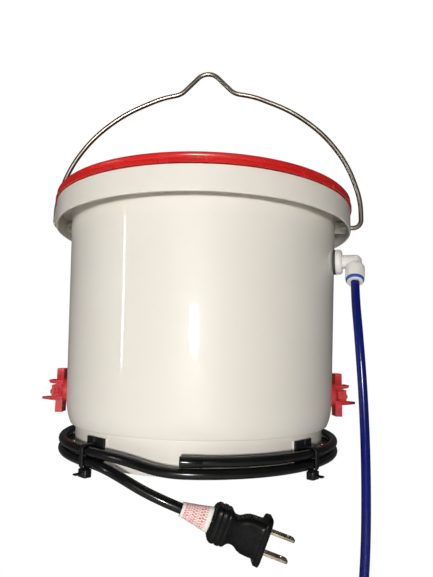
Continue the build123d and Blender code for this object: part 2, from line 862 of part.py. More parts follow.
def make_supply_tube(coil):
    points = tube_route()
    radii = corner_radii(points)
    solid, path = swept_tube(points, radii, tube_diameter)
    report_tube("supply tube", solid, path, radii, tube_diameter)
    return solid - coil


def tail_points():
    entry = tube_route()[-1]
    return entry, entry + Vector(0, 0, -tube_tail_length)


def make_tube_tail(coil):
    entry, end = tail_points()
    tail = Pos((entry.X + end.X) / 2, entry.Y, (entry.Z + end.Z) / 2) * Cylinder(tube_radius, tube_tail_length)
    return tail - coil


def make_coil_tie(coil):
    rows = math.ceil(coil_turns / coil_layers)
    radial_size = rows * coil_pitch
    width = coil_layers * coil_pitch
    t = coil_tie_thickness
    outer = RectangleRounded(width + 2 * t, radial_size + 2 * t, coil_rounding + t)
    inner = RectangleRounded(width, radial_size, coil_rounding)
    band = extrude(outer - inner, coil_tie_width / 2, both=True)
    place = Pos(*coil_centre()) * Pos(0, 0, coil_radius) * Rot(0, 90, 0) * Rot(0, 0, 90)
    return place * band - coil


def make_coupling():
    _, end = tail_points()
    length = coupling_length
    slope_end = coupling_grip + coupling_slope
    half = [(coupling_radius, 0), (coupling_radius, coupling_grip), (coupling_waist, slope_end),
            (coupling_waist, length - slope_end), (coupling_radius, length - coupling_grip),
            (coupling_radius, length)]
    body = revolved([(0, 0)] + half + [(0, length)])
    depth = coupling_socket
    bore = Cylinder(tube_radius + tube_fit, depth)
    body -= Pos(0, 0, length - depth / 2) * bore
    body -= Pos(0, 0, depth / 2) * bore
    body -= Pos(0, 0, length / 2) * Cylinder(coupling_stop_bore, length)
    return Pos(end.X, end.Y, end.Z - length + coupling_socket) * body


def make_coupling_collet(top):
    _, end = tail_points()
    thick = coupling_collet_flange
    ring = Cylinder(collet_flange_radius, thick) - Cylinder(tube_radius + tube_fit, 2 * thick)
    low = end.Z - coupling_length + coupling_socket
    z = low + coupling_length + thick / 2 if top else low - thick / 2
    return Pos(end.X, end.Y, z) * ring


os.makedirs("parts", exist_ok=True)
print(f"foot z {foot_z:.1f} pivot z {pivot_z:.1f} cable ring radius {cable_ring_radius:.2f}")

pail = make_pail()
coil = make_coil()
lead = make_lead()
parts = {
    "bail_wire": make_bail(),
    "pail_shell": pail,
    "lid": make_lid(),
    "lid_gasket": make_lid_gasket(),
    "inlet_washer_outer": wall_washer(pail, nut_radius, stem_radius, inlet_angle, inlet_height, False),
    "inlet_washer_inner": wall_washer(pail, nut_radius, stem_radius, inlet_angle, inlet_height, True),
    "inlet_nut": make_inlet_nut(),
    "inlet_stem": make_inlet_stem(),
    "inlet_backnut": make_inlet_backnut(),
    "elbow_body": make_elbow(),
    "elbow_collet": make_elbow_collet(),
    "collet_clip": make_collet_clip(),
    "elbow_oring": make_elbow_oring(),
    "valve_body": make_valve_body(),
    "valve_plunger": make_plunger(),
    "valve_plunger_seal": make_plunger_seal(),
    "float_lever_pin": make_lever_pin(),
    "float_arm": make_float_arm(),
    "float_ball": make_float_ball(),
    "heat_cable": make_heat_cable(),
    "heat_cable_cap": make_cable_cap(),
    "tie_mounts": Compound(children=make_tie_mounts()),
    "tie_mount_pads": Compound(children=make_mount_pads(pail)),
    "tie_straps": Compound(children=make_tie_straps()),
    "tie_heads": Compound(children=make_tie_heads()),
    "power_lead": lead,
    "lead_label": make_label() - lead,
    "plug_body": make_plug(),
    "plug_blade_upper": make_blade(-1),
    "plug_blade_lower": make_blade(1),
    "supply_tube": make_supply_tube(coil),
    "supply_coil": coil,
    "supply_tail": make_tube_tail(coil),
    "coil_tie": make_coil_tie(coil),
    "coupling_body": make_coupling(),
    "coupling_collet_tube": make_coupling_collet(True),
    "coupling_collet_open": make_coupling_collet(False),
}
for side, angle in drinker_angles.items():
    pieces = {
        "body": make_drinker_body(),
        "nut": make_drinker_nut(),
        "seal": make_drinker_seal(),
        "pin": make_drinker_pin(),
    }
    for piece, shape in pieces.items():
        parts[f"drinker_{side}_{piece}"] = radial(shape, angle, drinker_height)
    for place, inside in (("outer", False), ("inner", True)):
        washer = wall_washer(pail, drinker_nut_radius, shank_radius, angle, drinker_height, inside)
        parts[f"drinker_{side}_washer_{place}"] = washer

for name, shape in parts.items():
    export_step(shape, f"parts/{name}.step")
print(len(parts), "sub-parts")
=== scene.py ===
import json
import math
import bmesh
import bpy
import numpy as np
from mathutils import Matrix, Vector


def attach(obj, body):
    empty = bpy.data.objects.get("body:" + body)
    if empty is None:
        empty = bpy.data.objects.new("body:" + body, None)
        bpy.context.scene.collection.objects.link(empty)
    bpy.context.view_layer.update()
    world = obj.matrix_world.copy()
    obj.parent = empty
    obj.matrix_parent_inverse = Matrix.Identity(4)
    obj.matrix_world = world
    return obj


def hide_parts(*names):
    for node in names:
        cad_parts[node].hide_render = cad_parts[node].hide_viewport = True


# Hanging pail waterer: wire bail, red press-on lid, push-fit inlet with its blue tube, two side drinkers,
# and a heat cable tied round the foot with its lead and plug. Metres, with the hang point at the origin.

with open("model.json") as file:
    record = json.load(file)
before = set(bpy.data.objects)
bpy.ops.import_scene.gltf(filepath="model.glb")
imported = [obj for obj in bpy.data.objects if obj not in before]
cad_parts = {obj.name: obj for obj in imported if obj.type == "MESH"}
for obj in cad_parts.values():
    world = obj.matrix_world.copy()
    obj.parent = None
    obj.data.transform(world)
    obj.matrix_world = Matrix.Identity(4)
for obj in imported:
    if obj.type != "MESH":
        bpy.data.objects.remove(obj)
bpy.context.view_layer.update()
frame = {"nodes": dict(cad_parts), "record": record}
mm = 0.001
foot = -0.326  # height of the pail's foot

bodyOf = {}
for bodyName, bodyNodes in frame["record"]["behaviour"]["bodies"].items():
    bodyOf.update(dict.fromkeys(bodyNodes, bodyName))


cameraSet = {
    "place": (0.0415, -0.3947, -0.2510),
    "pitch": 8.06,
    "yaw": 1.67,
    "roll": 1.18,
    "turn": 6.0,
    "lens": 29.32,
}


def makeCamera(values):
    pitch, yaw, roll = (math.radians(values[key]) for key in ("pitch", "yaw", "roll"))
    ahead = Vector((math.sin(yaw) * math.cos(pitch), math.cos(yaw) * math.cos(pitch), math.sin(pitch)))
    right = Vector((math.cos(yaw), -math.sin(yaw), 0))
    up = right.cross(ahead)
    imageRight = math.cos(roll) * right + math.sin(roll) * up
    imageUp = math.cos(roll) * up - math.sin(roll) * right
    axes = Matrix((imageRight, imageUp, -ahead)).transposed()
    turned = Matrix.Rotation(math.radians(values["turn"]), 3, "Z") @ axes
    data = bpy.data.cameras.new("camera")
    data.sensor_fit = "VERTICAL"
    data.sensor_height = 36
    data.lens = values["lens"]
    data.clip_start = 0.01
    camera = bpy.data.objects.new("camera", data)
    camera.matrix_world = Matrix.Translation(values["place"]) @ turned.to_4x4()
    bpy.context.scene.collection.objects.link(camera)
    bpy.context.scene.camera = camera


makeCamera(cameraSet)


def newGroup(name, inputs, outputs):
    group = bpy.data.node_groups.new(name, "ShaderNodeTree")
    for label, kind, value in inputs:
        socket = group.interface.new_socket(name=label, in_out="INPUT", socket_type=kind)
        socket.default_value = value
    for label, kind in outputs:
        group.interface.new_socket(name=label, in_out="OUTPUT", socket_type=kind)
    start = group.nodes.new("NodeGroupInput")
    end = group.nodes.new("NodeGroupOutput")
    return group, start, end


def addNode(tree, kind, links=None, **settings):
    node = tree.nodes.new(kind)
    for key, value in settings.items():
        setattr(node, key, value)
    for socket, source in (links or {}).items():
        if isinstance(source, bpy.types.NodeSocket):
            tree.links.new(source, node.inputs[socket])
        else:
            node.inputs[socket].default_value = source
    return node


def makeToneGroup():
    # Two colours mixed by a cloudy noise, for plastic that isn't quite one colour
    group, start, end = newGroup("cloudyTone", [
        ("Main", "NodeSocketColor", (0.8, 0.8, 0.8, 1)),
        ("Other", "NodeSocketColor", (0.6, 0.6, 0.6, 1)),
        ("Scale", "NodeSocketFloat", 30.0),
        ("Amount", "NodeSocketFloat", 0.5),
    ], [("Color", "NodeSocketColor")])
    place = addNode(group, "ShaderNodeTexCoord")
    cloud = addNode(group, "ShaderNodeTexNoise", {
        "Vector": place.outputs["Object"], "Scale": start.outputs["Scale"], "Detail": 5.0, "Roughness": 0.6})
    spread = addNode(group, "ShaderNodeMapRange", {
        "Value": cloud.outputs["Fac"], "From Min": 0.30, "From Max": 0.72}, interpolation_type="SMOOTHERSTEP")
    share = addNode(group, "ShaderNodeMath", {
        0: spread.outputs["Result"], 1: start.outputs["Amount"]}, operation="MULTIPLY")
    mix = addNode(group, "ShaderNodeMix", data_type="RGBA")
    group.links.new(share.outputs[0], mix.inputs[0])
    group.links.new(start.outputs["Main"], mix.inputs[6])
    group.links.new(start.outputs["Other"], mix.inputs[7])
    group.links.new(mix.outputs[2], end.inputs["Color"])
    return group


def makeGrainGroup():
    # Smudges in the gloss, and a fine height for the bump
    group, start, end = newGroup("fineGrain", [
        ("Scale", "NodeSocketFloat", 900.0),
        ("Smudge Scale", "NodeSocketFloat", 40.0),
        ("Rough Low", "NodeSocketFloat", 0.3),
        ("Rough High", "NodeSocketFloat", 0.4),
    ], [("Roughness", "NodeSocketFloat"), ("Height", "NodeSocketFloat")])
    place = addNode(group, "ShaderNodeTexCoord")
    smudge = addNode(group, "ShaderNodeTexNoise", {
        "Vector": place.outputs["Object"], "Scale": start.outputs["Smudge Scale"], "Detail": 6.0,
        "Distortion": 0.6})
    rough = addNode(group, "ShaderNodeMapRange", {
        "Value": smudge.outputs["Fac"], "From Min": 0.3, "From Max": 0.7,
        "To Min": start.outputs["Rough Low"], "To Max": start.outputs["Rough High"]})
    grain = addNode(group, "ShaderNodeTexNoise", {
        "Vector": place.outputs["Object"], "Scale": start.outputs["Scale"], "Detail": 3.0})
    group.links.new(rough.outputs["Result"], end.inputs["Roughness"])
    group.links.new(grain.outputs["Fac"], end.inputs["Height"])
    return group


def makeWearGroup():
    # How far the rounded normal leans from the true one finds the edges, broken up by noise
    group, start, end = newGroup("edgeWear", [
        ("Radius", "NodeSocketFloat", 0.0006),
        ("Amount", "NodeSocketFloat", 0.5),
        ("Scale", "NodeSocketFloat", 500.0),
    ], [("Mask", "NodeSocketFloat")])
    place = addNode(group, "ShaderNodeTexCoord")
    rounded = addNode(group, "ShaderNodeBevel", {"Radius": start.outputs["Radius"]}, samples=4)
    true = addNode(group, "ShaderNodeNewGeometry")
    lean = addNode(group, "ShaderNodeVectorMath", {
        0: rounded.outputs["Normal"], 1: true.outputs["Normal"]}, operation="DOT_PRODUCT")
    edge = addNode(group, "ShaderNodeMapRange", {
        "Value": lean.outputs["Value"], "From Min": 0.98, "From Max": 0.75, "To Min": 0.0, "To Max": 1.0})
    broken = addNode(group, "ShaderNodeTexNoise", {
        "Vector": place.outputs["Object"], "Scale": start.outputs["Scale"], "Detail": 4.0})
    patchy = addNode(group, "ShaderNodeMapRange", {
        "Value": broken.outputs["Fac"], "From Min": 0.38, "From Max": 0.62})
    both = addNode(group, "ShaderNodeMath", {
        0: edge.outputs["Result"], 1: patchy.outputs["Result"]}, operation="MULTIPLY")
    mask = addNode(group, "ShaderNodeMath", {
        0: both.outputs[0], 1: start.outputs["Amount"]}, operation="MULTIPLY", use_clamp=True)
    group.links.new(mask.outputs[0], end.inputs["Mask"])
    return group


toneGroup = makeToneGroup()
grainGroup = makeGrainGroup()
wearGroup = makeWearGroup()


finishes = {
    "pailPlastic": {"main": (0.80, 0.762, 0.700), "other": (0.785, 0.745, 0.675), "toneScale": 14, "tone": 0.6,
                    "grain": 500, "smudge": 22, "rough": (0.40, 0.50), "bump": 0.00001, "subsurface": 0.08,
                    "specular": 0.35, "coat": 0.55, "coatRough": 0.055},
    "lidRed": {"main": (0.66, 0.016, 0.014), "other": (0.52, 0.010, 0.010), "toneScale": 25, "tone": 0.5,
               "grain": 800, "smudge": 30, "rough": (0.22, 0.34), "bump": 0.00003, "wear": 0.25,
               "wearColor": (0.78, 0.10, 0.08)},
    "drinkerRed": {"main": (0.62, 0.035, 0.040), "other": (0.47, 0.022, 0.028), "toneScale": 90, "tone": 0.6,
                   "grain": 1500, "smudge": 120, "rough": (0.28, 0.42), "bump": 0.00003, "wear": 0.6,
                   "wearColor": (0.80, 0.24, 0.24)},
    "fittingWhite": {"main": (0.84, 0.82, 0.78), "other": (0.76, 0.74, 0.69), "toneScale": 80, "tone": 0.5,
                     "grain": 1400, "smudge": 90, "rough": (0.30, 0.45), "bump": 0.00003, "wear": 0.2,
                     "wearColor": (0.66, 0.63, 0.58)},
    "clipBlue": {"main": (0.03, 0.10, 0.50), "other": (0.02, 0.06, 0.36), "toneScale": 150, "tone": 0.5,
                 "grain": 1400, "smudge": 90, "rough": (0.28, 0.4), "bump": 0.00002, "wear": 0.3,
                 "wearColor": (0.12, 0.22, 0.65)},
    "sealRubber": {"main": (0.035, 0.035, 0.036), "other": (0.06, 0.06, 0.058), "toneScale": 200, "tone": 0.7,
                   "grain": 2500, "smudge": 150, "rough": (0.6, 0.8), "bump": 0.00005},
    "floatPlastic": {"main": (0.74, 0.73, 0.69), "other": (0.64, 0.63, 0.58), "toneScale": 60, "tone": 0.6,
                     "grain": 1600, "smudge": 60, "rough": (0.4, 0.55), "bump": 0.00004},
    "cableBlack": {"main": (0.003, 0.0035, 0.0035), "other": (0.008, 0.008, 0.008), "toneScale": 60, "tone": 0.7,
                   "grain": 900, "smudge": 45, "rough": (0.14, 0.26), "bump": 0.00001, "specular": 0.4},
    "tieBlack": {"main": (0.005, 0.005, 0.006), "other": (0.012, 0.012, 0.012), "specular": 0.35,
                 "toneScale": 160, "tone": 0.7, "grain": 2200, "smudge": 130, "rough": (0.30, 0.46),
                 "bump": 0.00003, "wear": 0.5, "wearColor": (0.16, 0.155, 0.15)},
    "foamWhite": {"main": (0.84, 0.83, 0.79), "other": (0.66, 0.65, 0.60), "toneScale": 500, "tone": 0.7,
                  "grain": 2600, "smudge": 200, "rough": (0.75, 0.9), "bump": 0.00015},
    "plugBlack": {"main": (0.003, 0.0035, 0.0035), "other": (0.009, 0.009, 0.009), "toneScale": 90, "tone": 0.7,
                  "grain": 1500, "smudge": 110, "rough": (0.22, 0.34), "bump": 0.00002, "wear": 0.3,
                  "wearColor": (0.03, 0.03, 0.028), "specular": 0.12},
    "tubeBlue": {"main": (0.004, 0.010, 0.155), "other": (0.003, 0.007, 0.105), "toneScale": 40, "tone": 0.6,
                 "grain": 900, "smudge": 50, "rough": (0.14, 0.24), "bump": 0.00001, "specular": 0.35},
    "brightWire": {"main": (0.50, 0.46, 0.38), "other": (0.34, 0.31, 0.25), "toneScale": 70, "tone": 0.7,
                   "grain": 400, "smudge": 60, "rough": (0.28, 0.36), "bump": 0.000001, "metallic": 1.0},
    "stainless": {"main": (0.70, 0.69, 0.66), "other": (0.50, 0.49, 0.46), "toneScale": 200, "tone": 0.5,
                  "grain": 3000, "smudge": 200, "rough": (0.15, 0.28), "bump": 0.00002, "metallic": 1.0},
    "bladeMetal": {"main": (0.60, 0.53, 0.40), "other": (0.34, 0.28, 0.20), "toneScale": 260, "tone": 0.8,
                   "grain": 2600, "smudge": 240, "rough": (0.22, 0.42), "bump": 0.00003, "metallic": 1.0,
                   "wear": 0.5, "wearColor": (0.80, 0.76, 0.66)},
}


def makeFinish(name, values):
    material = bpy.data.materials.new(name)
    material.use_nodes = True
    tree = material.node_tree
    tree.nodes.clear()
    output = addNode(tree, "ShaderNodeOutputMaterial")
    shader = addNode(tree, "ShaderNodeBsdfPrincipled")
    tree.links.new(shader.outputs["BSDF"], output.inputs["Surface"])
    tone = addNode(tree, "ShaderNodeGroup", node_tree=toneGroup)
    tone.inputs["Main"].default_value = (*values["main"], 1)
    tone.inputs["Other"].default_value = (*values["other"], 1)
    tone.inputs["Scale"].default_value = values["toneScale"]
    tone.inputs["Amount"].default_value = values["tone"]
    grain = addNode(tree, "ShaderNodeGroup", node_tree=grainGroup)
    grain.inputs["Scale"].default_value = values["grain"]
    grain.inputs["Smudge Scale"].default_value = values["smudge"]
    grain.inputs["Rough Low"].default_value = values["rough"][0]
    grain.inputs["Rough High"].default_value = values["rough"][1]
    color = tone.outputs["Color"]
    if "wear" in values:
        wear = addNode(tree, "ShaderNodeGroup", node_tree=wearGroup)
        wear.inputs["Amount"].default_value = values["wear"]
        mix = addNode(tree, "ShaderNodeMix", data_type="RGBA")
        mix.inputs[7].default_value = (*values["wearColor"], 1)
        tree.links.new(wear.outputs["Mask"], mix.inputs[0])
        tree.links.new(color, mix.inputs[6])
        color = mix.outputs[2]
    bump = addNode(tree, "ShaderNodeBump", {"Height": grain.outputs["Height"], "Distance": values["bump"]})
    bump.inputs["Strength"].default_value = 1.0
    tree.links.new(color, shader.inputs["Base Color"])
    tree.links.new(grain.outputs["Roughness"], shader.inputs["Roughness"])
    tree.links.new(bump.outputs["Normal"], shader.inputs["Normal"])
    shader.inputs["Metallic"].default_value = values.get("metallic", 0.0)
    shader.inputs["Coat Weight"].default_value = values.get("coat", 0.0)
    shader.inputs["Coat Roughness"].default_value = values.get("coatRough", 0.12)
    shader.inputs["Specular IOR Level"].default_value = values.get("specular", 0.5)
    if "subsurface" in values:
        shader.inputs["Subsurface Weight"].default_value = values["subsurface"]
        shader.inputs["Subsurface Radius"].default_value = (1.0, 0.85, 0.65)
        shader.inputs["Subsurface Scale"].default_value = 0.004
    return material


labelSet = {
    "paper": (0.86, 0.83, 0.80),
    "ink": (0.70, 0.06, 0.05),
}


def makeLabelPaper(values):
    # Rows of short red dashes with no meaning, inside a plain margin, on the sleeve's own map
    material = makeFinish("labelPaper", {
        "main": values["paper"], "other": (0.78, 0.74, 0.70), "toneScale": 300, "tone": 0.4,
        "grain": 2600, "smudge": 150, "rough": (0.55, 0.7), "bump": 0.00003})
    tree = material.node_tree
    shader = next(node for node in tree.nodes if node.type == "BSDF_PRINCIPLED")
    paper = shader.inputs["Base Color"].links[0].from_socket
    place = addNode(tree, "ShaderNodeUVMap", uv_map="sleeve")
    dashes = addNode(tree, "ShaderNodeTexBrick", {
        "Vector": place.outputs["UV"], "Color1": (1, 1, 1, 1), "Color2": (0.7, 0.7, 0.7, 1),
        "Mortar": (0, 0, 0, 1), "Scale": 1.0, "Mortar Size": 0.010, "Mortar Smooth": 0.3,
        "Brick Width": 0.045, "Row Height": 0.085}, offset=0.37, squash=0.7, squash_frequency=3)
    apart = addNode(tree, "ShaderNodeSeparateXYZ", {"Vector": place.outputs["UV"]})
    low = addNode(tree, "ShaderNodeMath", {0: apart.outputs["Y"], 1: 0.10}, operation="GREATER_THAN")
    high = addNode(tree, "ShaderNodeMath", {0: apart.outputs["Y"], 1: 0.86}, operation="LESS_THAN")
    inside = addNode(tree, "ShaderNodeMath", {0: low.outputs[0], 1: high.outputs[0]}, operation="MULTIPLY")
    marks = addNode(tree, "ShaderNodeMath", {0: dashes.outputs["Color"], 1: inside.outputs[0]},
                    operation="MULTIPLY")
    mix = addNode(tree, "ShaderNodeMix", data_type="RGBA")
    mix.inputs[7].default_value = (*values["ink"], 1)
    tree.links.new(marks.outputs[0], mix.inputs[0])
    tree.links.new(paper, mix.inputs[6])
    tree.links.new(mix.outputs[2], shader.inputs["Base Color"])
    return material


materials = {name: makeFinish(name, values) for name, values in finishes.items()}
materials["labelPaper"] = makeLabelPaper(labelSet)
print("finishes made")


def addPiece(name, data, finish, body, nodes=()):
    piece = bpy.data.objects.new(name, data)
    bpy.context.scene.collection.objects.link(piece)
    data.materials.clear()
    data.materials.append(materials[finish])
    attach(piece, body)
    if nodes:
        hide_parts(*nodes)
    return piece


def roundEdges(piece, width, segments=2, limit=30):
    bevel = piece.modifiers.new("roundEdges", "BEVEL")
    bevel.width = width
    bevel.segments = segments
    bevel.limit_method = "ANGLE"
    bevel.angle_limit = math.radians(limit)
    bevel.harden_normals = True
    bevel.use_clamp_overlap = True


def weldMesh(data, outward=True):
    work = bmesh.new()
    work.from_mesh(data)
    bmesh.ops.remove_doubles(work, verts=work.verts, dist=1e-6)
    bmesh.ops.dissolve_degenerate(work, edges=work.edges, dist=1e-7)
    if outward:
        bmesh.ops.recalc_face_normals(work, faces=work.faces)
    work.to_mesh(data)
    work.free()


def gridData(name, points, aroundU, aroundV, uv=None):
    # Neighbouring points of a rows x columns grid make one four-sided face, wrapping where it closes
    rows, columns = points.shape[:2]
    index = np.arange(rows * columns).reshape(rows, columns)
    nextU = np.roll(index, -1, axis=0)
    nextV = np.roll(index, -1, axis=1)
    both = np.roll(nextU, -1, axis=1)
    faces = np.stack([index, nextU, both, nextV], axis=-1)
    faces = faces[:rows if aroundU else rows - 1, :columns if aroundV else columns - 1]
    data = bpy.data.meshes.new(name)
    data.from_pydata(points.reshape(-1, 3), [], faces.reshape(-1, 4))
    if uv is not None:
        layer = data.uv_layers.new(name="sleeve")
        layer.data.foreach_set("uv", uv.reshape(-1, 2)[faces.reshape(-1)].ravel().astype(np.float32))
    data.shade_smooth()
    return data


def turned(profile, angles):
    # A profile of radius and height carried round Z: x = r cos a, y = r sin a, z = foot + height
    radius, height = np.asarray(profile, float).T * mm
    a = np.asarray(angles)[:, None]
    return np.stack([radius * np.cos(a), radius * np.sin(a), foot + height + 0 * a], axis=-1)


def refined(node, finish, edge=0.0, flat=0.6, smooth=35):
    # A merged copy of a frame piece with its flat faces joined, smooth curves and softened edges
    data = frame["nodes"][node].data.copy()
    data.name = node + "_fine"
    weldMesh(data, outward=False)
    work = bmesh.new()
    work.from_mesh(data)
    bmesh.ops.dissolve_limit(work, angle_limit=math.radians(flat), verts=work.verts, edges=work.edges)
    work.to_mesh(data)
    work.free()
    data.shade_smooth()
    piece = addPiece(node + "_fine", data, finish, bodyOf[node], (node,))
    if edge:
        roundEdges(piece, edge, limit=smooth)
    else:
        data.set_sharp_from_angle(angle=math.radians(smooth))
    return piece


def nurbsCord(name, points, diameter, finish, body, nodes):
    data = bpy.data.curves.new(name, "CURVE")
    data.dimensions = "3D"
    data.bevel_depth = diameter / 2
    data.bevel_resolution = 6
    data.resolution_u = 10
    data.use_fill_caps = True
    spline = data.splines.new("NURBS")
    spline.points.add(len(points) - 1)
    spline.points.foreach_set("co", np.c_[np.asarray(points, float) * mm, np.ones(len(points))].ravel())
    spline.order_u = 3
    spline.use_endpoint_u = True
    return addPiece(name, data, finish, body, nodes)


leadSet = {
    "diameter": 0.0063,
    "length": 0.093,
    "route": [(-64.56, -84.14, -321.1), (-53.45, -92.66, -321.1), (-38.8, -99.6, -325.2),
              (-24.4, -101.6, -332.1), (-10.0, -102.4, -337.8), (4.4, -101.0, -343.3), (18.6, -98.6, -348.6)],
}
tubeSet = {
    "diameter": 0.00635,
    "length": 1.42,
    "route": [(120.43, -32.6, -181.9), (117.68, -43.61, -204.18), (117.28, -54.61, -234.18),
              (119.28, -56.11, -279.18), (120.08, -55.61, -329.18), (118.28, -56.11, -384.18),
              (112.2, -58.8, -429.18)],
    "coilCentre": (75.88, -53.91, -466.18),
    "innerRadius": 31.75,
    "outerRadius": 38.25,
    "pitch": 6.5,
    "pointsPerTurn": 16,
    "tail": [(114.0, -53.91, -484.0), (111.6, -53.91, -502.0), (110.88, -53.91, -518.18)],
}


def coilPoints(values):
    # Turns about Y, going down on the right: three inner ones side by side, then two outer ones over them
    per = values["pointsPerTurn"]
    step = np.arange(5 * per + 1)
    turns = step / per
    lane = np.array([-1, 0, 1, 1, 0, 0], float) * values["pitch"]
    reach = np.array([values["innerRadius"]] * 3 + [values["outerRadius"]] * 3)
    whole = np.minimum(turns.astype(int), 4)
    part = np.clip((turns - whole - 0.75) / 0.25, 0, 1)
    blend = part * part * (3 - 2 * part)
    side = lane[whole] + (lane[whole + 1] - lane[whole]) * blend
    radius = reach[whole] + (reach[whole + 1] - reach[whole]) * blend
    radius = radius * 2 / (1 + math.cos(math.pi / per))
    centre = np.array(values["coilCentre"])
    angle = -2 * math.pi * turns
    return np.stack([centre[0] + radius * np.cos(angle), centre[1] + side,
                     centre[2] + radius * np.sin(angle)], axis=-1)


lead = nurbsCord("lead", leadSet["route"], leadSet["diameter"], "cableBlack", "pail",
                 ("power_lead",))
tubeRoute = np.concatenate([tubeSet["route"], coilPoints(tubeSet), tubeSet["tail"]])
tube = nurbsCord("supplyHose", tubeRoute, tubeSet["diameter"], "tubeBlue", "pail",
                 ("supply_tube", "supply_coil", "supply_tail"))
print("cords laid")


cableSet = {
    "diameter": 0.0063,
    "ring": 106.05,
    "start": -82.7,
    "step": 18.0,
    "corners": 18,
    "high": 11.8,
    "low": 4.9,
    "drop": ((250.3, 0.12), (264.0, 0.96)),
    "end": 592.5,
}


def heatCablePoints(values):
    # Corners of an 18 degree polygon outside the ring: one turn high, a step down, one turn low
    corner = values["ring"] / math.cos(math.radians(values["step"] / 2))
    first = values["start"] + values["step"] / 2 + values["step"] * np.arange(values["corners"])
    last = values["end"] - values["step"] / 2 - values["step"] * np.arange(values["corners"] - 1, -1, -1)
    fall = values["high"] - values["low"]
    dropAngles = np.array([angle for angle, share in values["drop"]])
    dropHeights = values["high"] - fall * np.array([share for angle, share in values["drop"]])
    angles = np.radians(np.concatenate([[values["start"]], first, dropAngles, last, [values["end"]]]))
    level = values["corners"] + 1
    heights = np.concatenate([np.full(level, values["high"]), dropHeights, np.full(level, values["low"])])
    reach = np.full(len(angles), corner)
    reach[[0, -1]] = values["ring"]
    return np.stack([reach * np.cos(angles), reach * np.sin(angles), foot / mm + heights], axis=-1)


nurbsCord("heatCable", heatCablePoints(cableSet), cableSet["diameter"], "cableBlack", "pail",
          ("heat_cable",))
refined("heat_cable_cap", "cableBlack", edge=0.0004)
print("heat cable wound")


pailSet = {
    "segments": 288,
    "edge": 0.0006,
    "earHeight": 184.0,
    "earEdge": 0.0004,
}


def pailProfile():
    # Outside from the centre of the floor up to the rim, then back down the inside. The low curve's radius
    # is (drop squared + run squared) / (2 run)
    drop = 19.0
    run = 3.9
    wallThickness = 2.2
    innerDrop = drop - wallThickness
    curve = (drop ** 2 + run ** 2) / (2 * run)
    sweep = math.asin(drop / curve)
    t = np.linspace(sweep, 0, 12)
    outer = np.c_[105.4 - curve * (1 - np.cos(t)), 42 - curve * np.sin(t)]
    innerCurve = curve - wallThickness
    innerSweep = math.asin(innerDrop / innerCurve)
    s = np.linspace(0, innerSweep, 12)
    inner = np.c_[103.2 - innerCurve * (1 - np.cos(s)), 42 - innerCurve * np.sin(s)]
    wall = np.c_[np.linspace(105.4, 110, 26)[1:], np.linspace(42, 189.6, 26)[1:]]
    wallBack = np.c_[np.linspace(108, 103.2, 26)[:-1], np.linspace(196, 42, 26)[:-1]]
    return np.concatenate([
        [(0, 6), (48, 6), (95.3, 6), (95.3, 0), (97.5, 0), (97.5, 11.5), (97.5, 23)], outer, wall,
        [(115, 189.6), (120.2, 189.6), (120.2, 182), (120.2, 174), (122, 174), (122, 182), (122, 191.5),
         (116, 191.5), (110.06, 191.5), (110.1, 193.5), (112.2, 193.5), (112.2, 196)],
        wallBack, inner, [(95.3, inner[-1][1]), (95.3, 8.2), (48, 8.2), (0, 8.2)]])


def makePail(values):
    angles = np.linspace(0, 2 * math.pi, values["segments"], endpoint=False)
    data = gridData("pailFine", turned(pailProfile(), angles), True, False)
    weldMesh(data)
    data.shade_smooth()
    pail = addPiece("pailFine", data, "pailPlastic", "pail", ("pail_shell",))
    roundEdges(pail, values["edge"], segments=3)


def makeEars(values):
    # A boss along X at each ear: rings of growing and shrinking radius between the wall and the skirt
    stations = np.array([(109.2, 0.0), (109.2, 5.6), (110.6, 5.2), (112.5, 5.0), (116, 5.0), (120.4, 5.0),
                         (121.2, 5.0), (121.2, 0.0)])
    a = np.linspace(0, 2 * math.pi, 48, endpoint=False)[:, None]
    for name, side in (("earRight", 1), ("earLeft", -1)):
        along, radius = stations.T * mm
        points = np.stack([side * along + 0 * a, radius * np.cos(a),
                           foot + values["earHeight"] * mm + radius * np.sin(a)], axis=-1)
        data = gridData(name, points, True, False)
        weldMesh(data)
        data.shade_smooth()
        ear = addPiece(name, data, "pailPlastic", "pail")
        roundEdges(ear, values["earEdge"])


makePail(pailSet)
makeEars(pailSet)
print("pail turned")


lidSet = {
    "notches": 24,
    "notchWidth": 2.6,
    "notchDepth": 1.2,
    "notchFade": 0.12,
    "bandRadius": 123.1,
    "bandInner": 122.6,
    "bandTop": 194.3,
    "edge": 0.0005,
}


def lidProfile():
    # Top panel and its step up to the rolled band, the thin lower band, then the underside back in
    return np.array([(0, 194), (30, 194), (32, 194.5), (34, 194), (70, 194), (72, 194.5), (74, 194), (105.6, 194),
                     (105.6, 196.8), (105.6, 199.5), (112, 199.5), (120.4, 199.5), (121.6, 199.2),
                     (122.3, 198.3), (122.4, 197.2), (121.9, 196.0), (121.2, 195.2), (121.2, 194.7),
                     (121.2, 194.2), (122.7, 194.2), (123.1, 193.8), (123.1, 193), (123.1, 191.9),
                     (119.4, 191.9), (119.4, 194.8), (119.4, 197.7), (113, 197.7), (107.4, 197.7), (107.4, 195),
                     (107.4, 192.2), (70, 192.2), (0, 192.2)])


